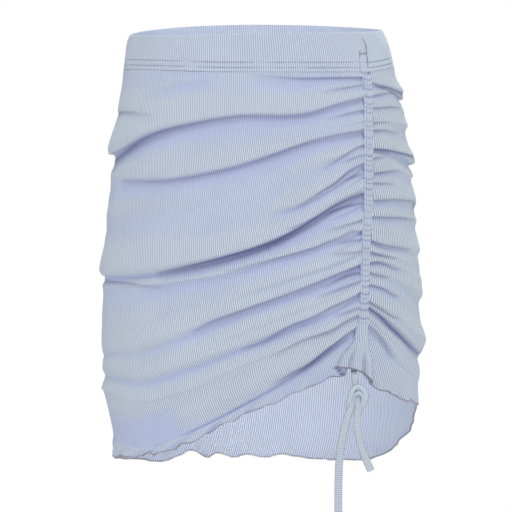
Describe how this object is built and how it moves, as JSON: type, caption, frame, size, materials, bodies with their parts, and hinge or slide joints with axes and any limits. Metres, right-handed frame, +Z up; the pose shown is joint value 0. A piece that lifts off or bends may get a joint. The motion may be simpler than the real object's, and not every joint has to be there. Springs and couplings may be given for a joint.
{
  "type": "ruched mini skirt",
  "caption": "Rib-knit mini skirt in worn shape, drawn up along a front channel by a flat knotted drawstring, with a raised wrap-like front hem and a longer back.",
  "frame": {"origin": "middle of the waist opening, where the wearer holds the skirt", "axes": "+Z up out of the waist, -Y towards the wearer's front, +X towards the wearer's left"},
  "size_m": [0.3261, 0.254, 0.5033],
  "materials": {
    "rib_knit": "matte pale lilac-blue fine rib knit",
    "band_knit": "matte doubled rib knit with twin-needle stitching",
    "cord_knit": "matte flat rib-knit cord"
  },
  "bodies": {
    "root": {"front_panel": "rib_knit", "side_front_panel": "rib_knit", "back_panel": "rib_knit", "waistband": "band_knit", "channel": "band_knit", "drawstring_strand": "cord_knit", "drawstring_knot": "cord_knit", "drawstring_long_end": "cord_knit", "drawstring_short_end": "cord_knit"}
  },
  "joints": []
}
